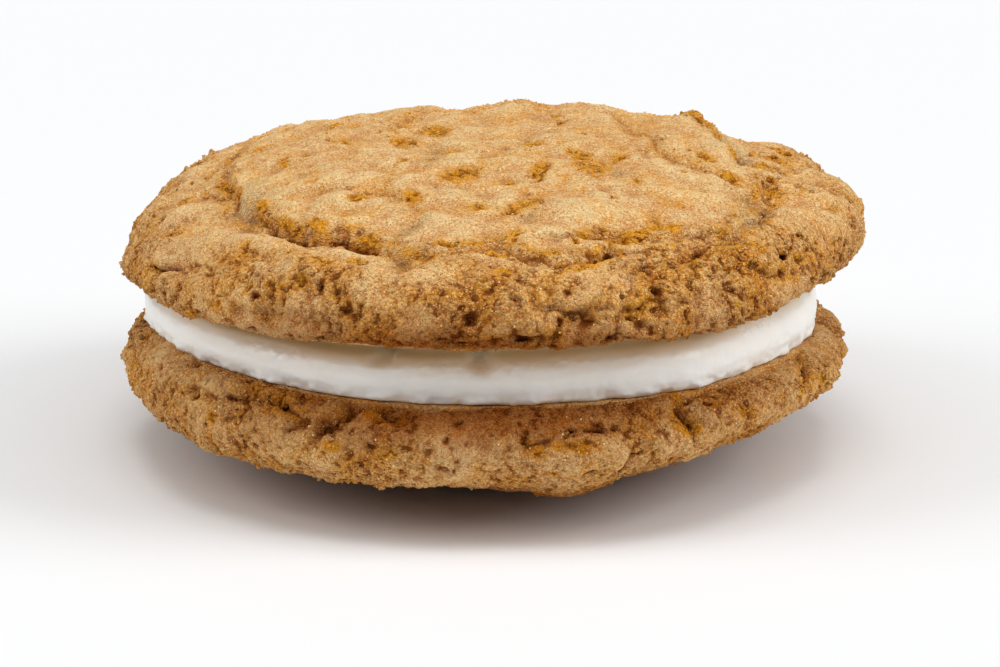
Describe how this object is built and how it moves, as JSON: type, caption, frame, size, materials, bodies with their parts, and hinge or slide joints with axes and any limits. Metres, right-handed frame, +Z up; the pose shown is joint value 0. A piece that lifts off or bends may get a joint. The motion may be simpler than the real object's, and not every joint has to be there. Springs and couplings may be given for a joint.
{
  "type": "cookie sandwich",
  "caption": "Round cookie sandwich: two domed, cracked and crumbly cookies with their flat sides on a thick layer of smooth white cream",
  "frame": {"origin": "on the surface the sandwich stands on, under the middle of its outline", "axes": "+Z up through both cookies, -Y towards the person it is shown to, +X to that person's right"},
  "size_m": [0.0885, 0.0901, 0.0378],
  "materials": {
    "bottom_cookie": "baked cookie crust, matte, sandy and crumbly",
    "cream_filling": "smooth white cream, soft satin gloss",
    "top_cookie": "baked cookie crust, matte, sandy and crumbly"
  },
  "bodies": {
    "root": {"bottom_cookie": "bottom_cookie", "cream_filling": "cream_filling", "top_cookie": "top_cookie"}
  },
  "joints": []
}
